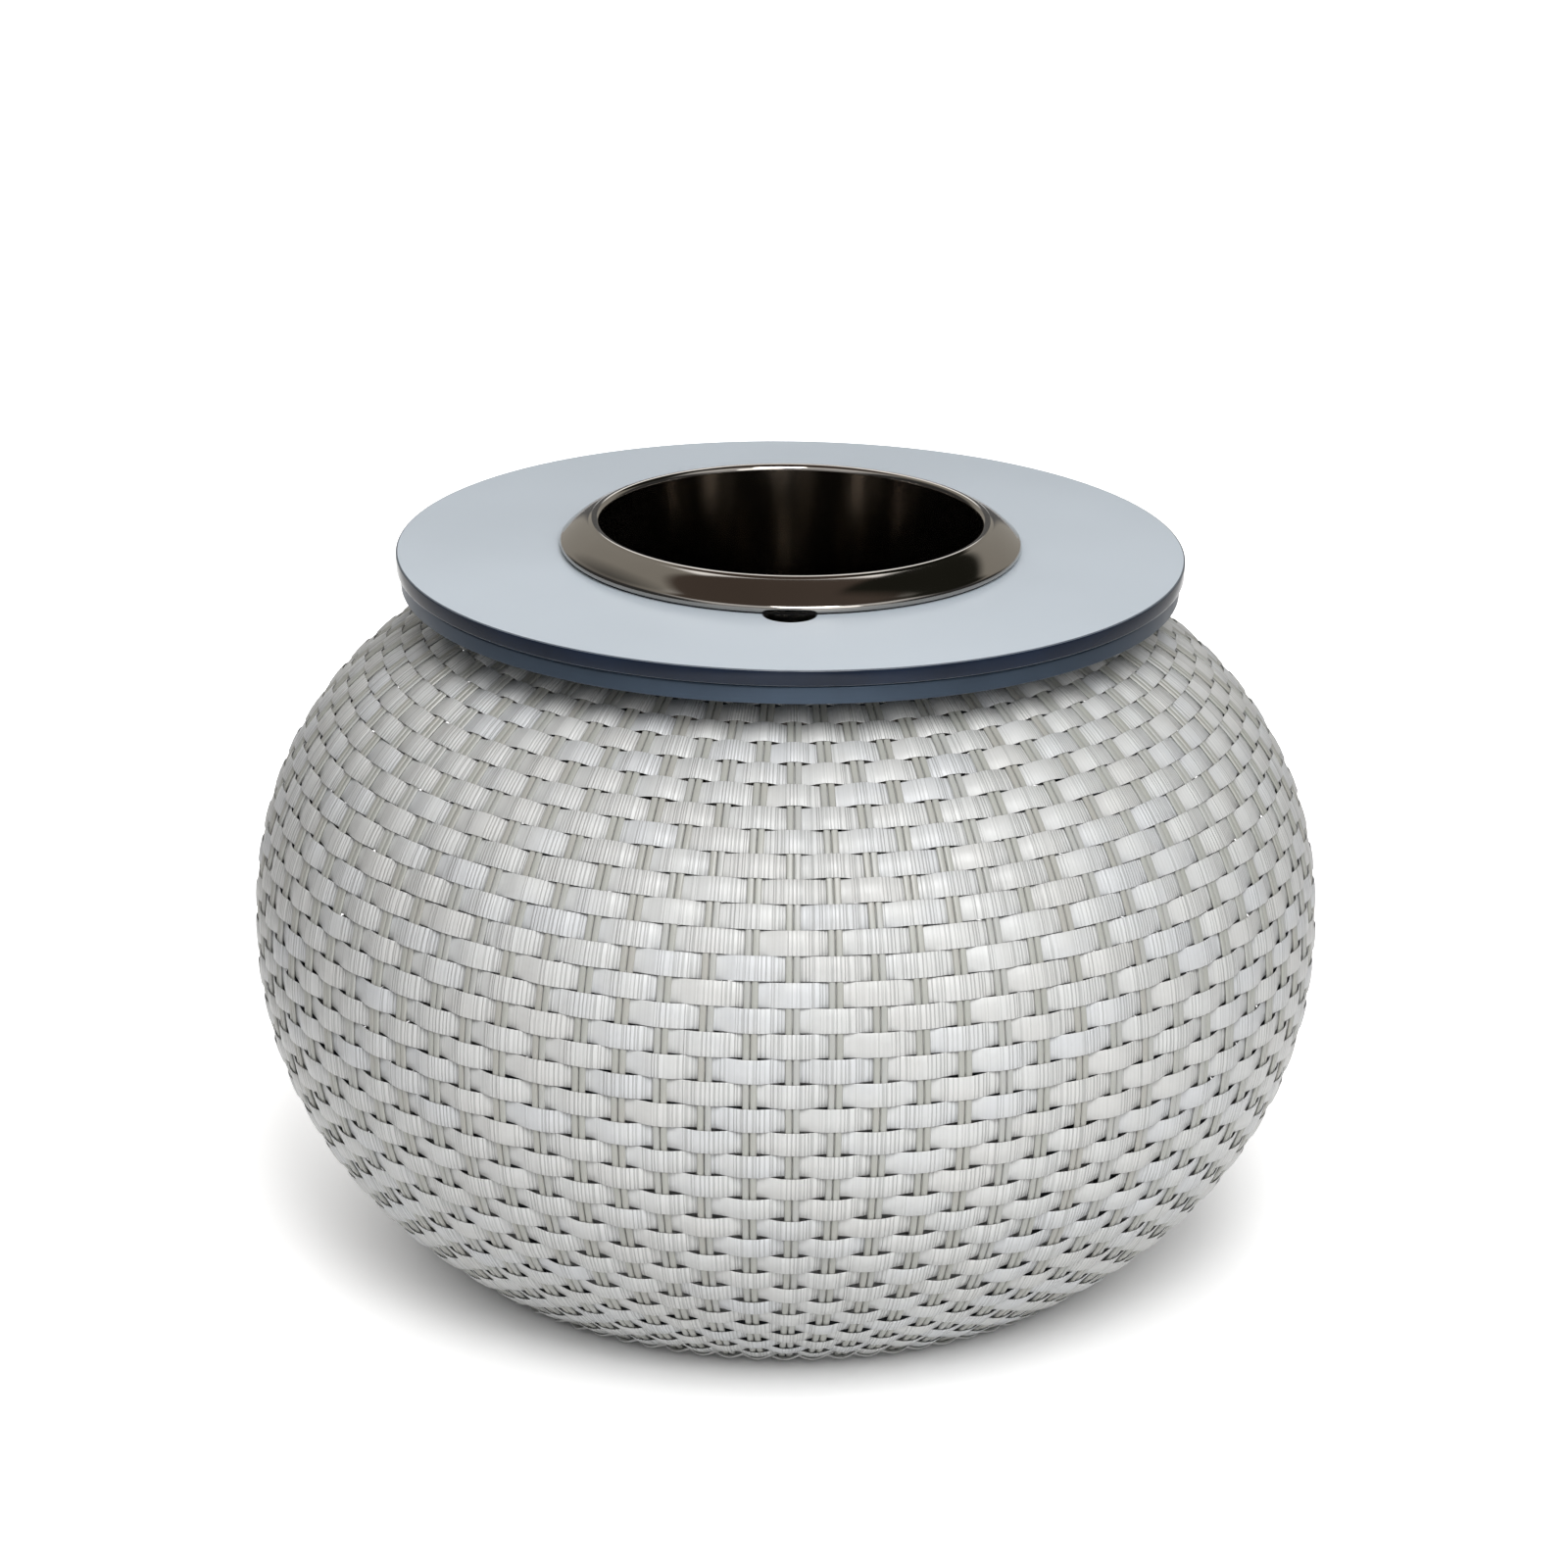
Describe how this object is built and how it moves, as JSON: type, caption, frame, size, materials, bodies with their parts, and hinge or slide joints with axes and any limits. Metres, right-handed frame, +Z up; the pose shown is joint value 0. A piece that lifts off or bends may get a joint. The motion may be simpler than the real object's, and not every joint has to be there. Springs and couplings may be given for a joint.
{
  "type": "ice bucket coffee table",
  "caption": "Round barrel-shaped woven coffee table with a flat glass top and a steel ice bucket that lifts out of its middle.",
  "frame": {"origin": "on the floor, at the middle of the table's round plan", "axes": "+Z up along the table's own round axis, -Y towards the finger notch at the front"},
  "size_m": [0.7026, 0.7024, 0.4902],
  "materials": {
    "weave": "pearly white-grey synthetic cane",
    "frame": "dark powder coat",
    "tray": "slate powder coat",
    "glass": "pale satin, opaque",
    "steel": "polished stainless",
    "screw": "plain stainless",
    "rubber": "matt black",
    "foot": "matt black",
    "silicone": "clear silicone"
  },
  "bodies": {
    "table": {"woven_shell": "weave", "base_ring": "frame", "belt_ring": "frame", "top_ring": "frame", "rib_1": "frame", "rib_2": "frame", "rib_3": "frame", "rib_4": "frame", "rib_5": "frame", "rib_6": "frame", "glide_1": "foot", "glide_2": "foot", "glide_3": "foot", "glide_4": "foot", "glide_5": "foot", "glide_6": "foot", "bracket_1": "frame", "bracket_2": "frame", "bracket_3": "frame", "bracket_4": "frame", "screw_1": "screw", "screw_2": "screw", "screw_3": "screw", "screw_4": "screw", "top_tray": "tray", "glass_pad_1": "silicone", "glass_pad_2": "silicone", "glass_pad_3": "silicone", "glass_pad_4": "silicone", "glass_pad_5": "silicone", "glass_pad_6": "silicone", "glass_top": "glass"},
    "bucket": {"ice_bucket": "steel", "rim_gasket": "rubber"}
  },
  "joints": [
    {"name": "bucket_lift", "type": "slide", "parent": "table", "child": "bucket", "axis": [0, 0, 1], "range_m": [0, 0.25]}
  ]
}
